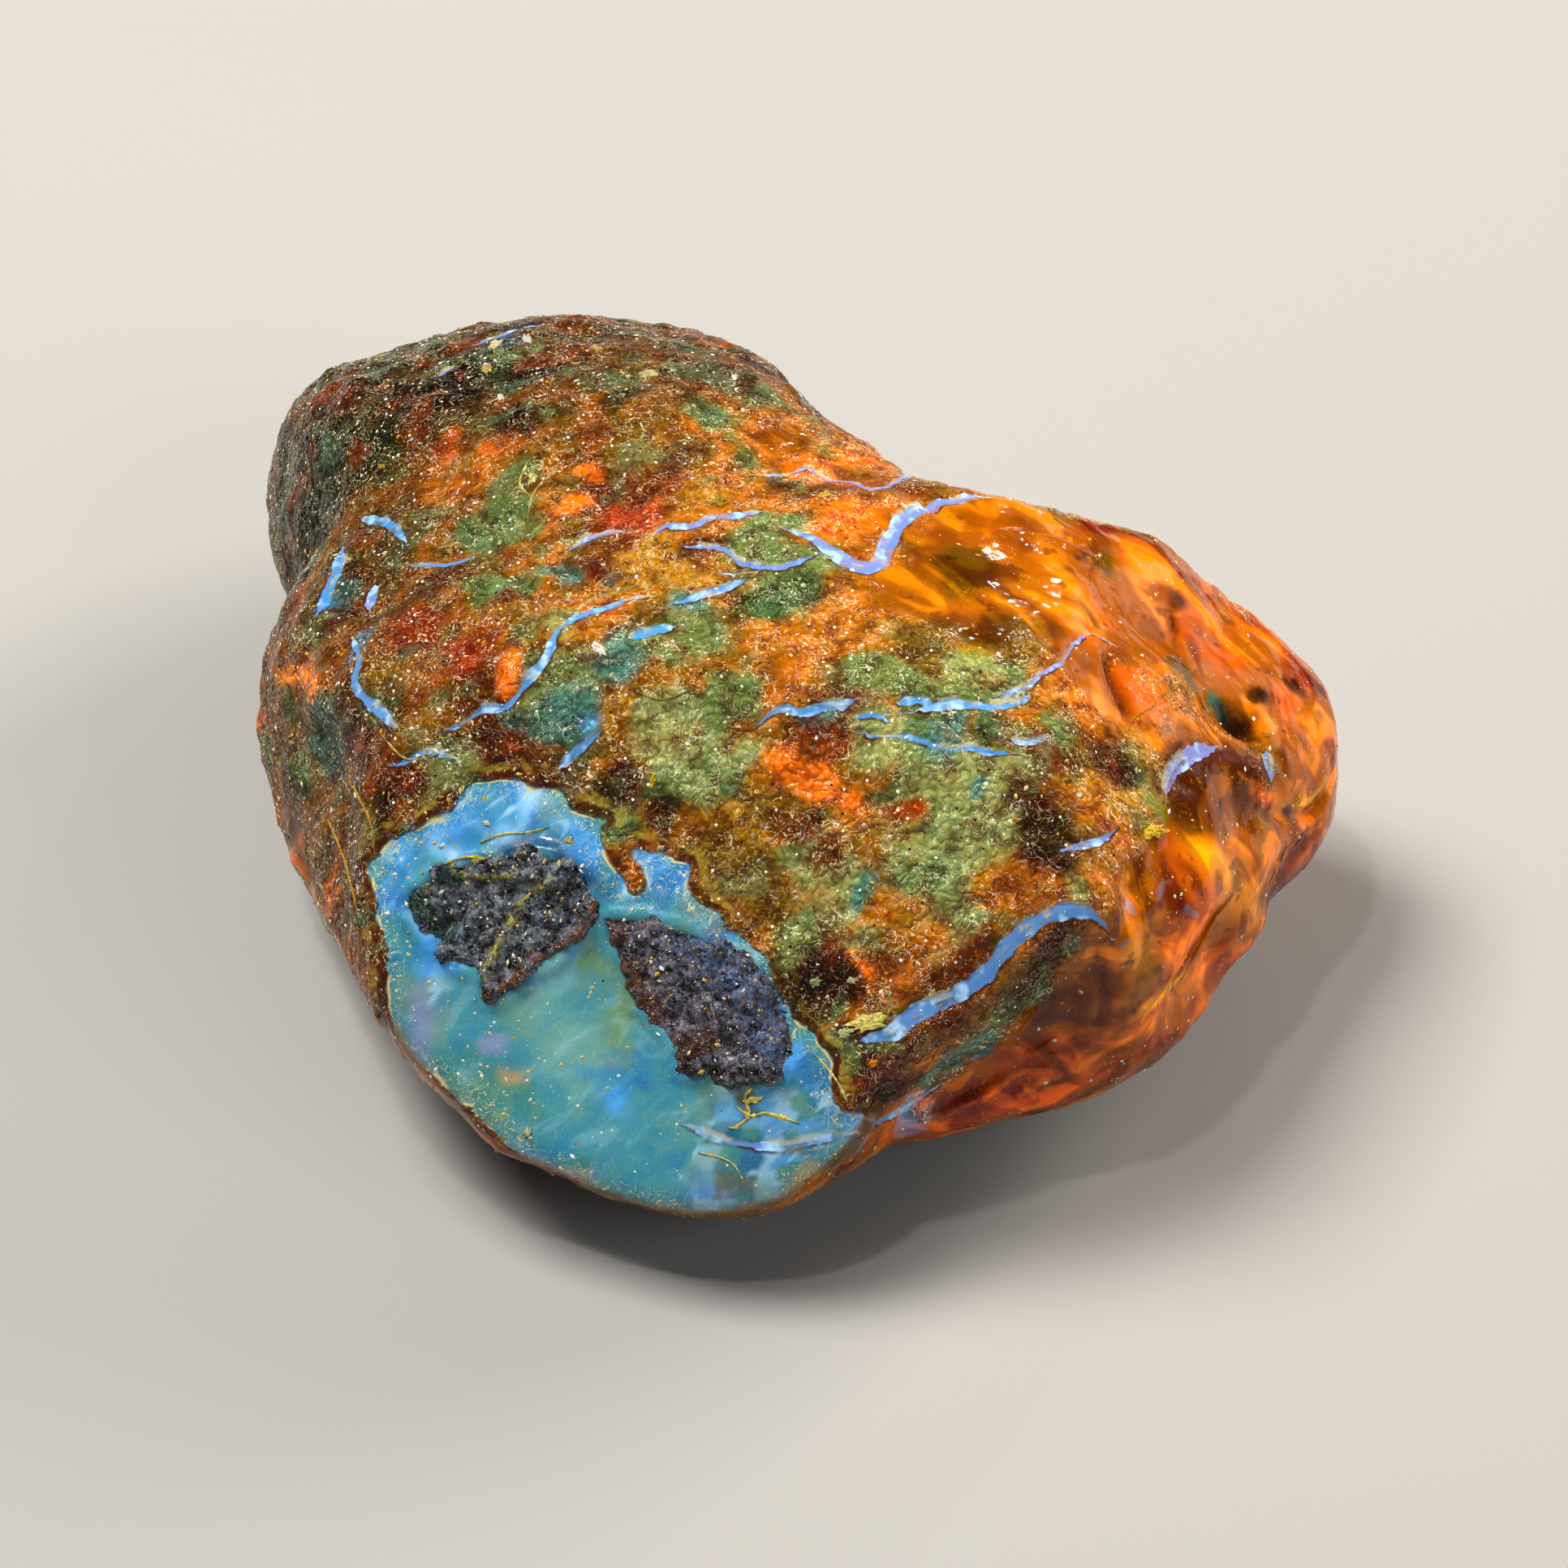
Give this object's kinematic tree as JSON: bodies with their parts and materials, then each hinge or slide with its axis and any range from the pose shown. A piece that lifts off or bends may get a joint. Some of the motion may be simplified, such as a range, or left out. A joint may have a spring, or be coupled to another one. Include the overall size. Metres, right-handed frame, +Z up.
{
  "type": "dominican amber nodule",
  "caption": "Rough nodule of blue amber with a clear orange tip, a mottled crust, a polished window and dark flakes of matrix let into it; rests on a worn flat.",
  "frame": {"origin": "middle of the whole nodule's plan, on the surface that it rests on", "axes": "+Z up; -Y towards the blue window at the front; +X towards the clear orange tip"},
  "size_m": [0.084, 0.0962, 0.0363],
  "materials": {
    "amber": "glossy fossil resin: see-through orange at the right tip and the rims, blue in the window, under a mottled olive, ochre and brown crust with blue veins",
    "matrix": "rough charcoal plant matrix with glints",
    "fleck": "fine gold and cream mineral flecks stuck to the surface"
  },
  "bodies": {
    "root": {"amber_nodule": "amber", "dark_matrix_flake_left": "matrix", "dark_matrix_flake_right": "matrix"}
  },
  "joints": []
}
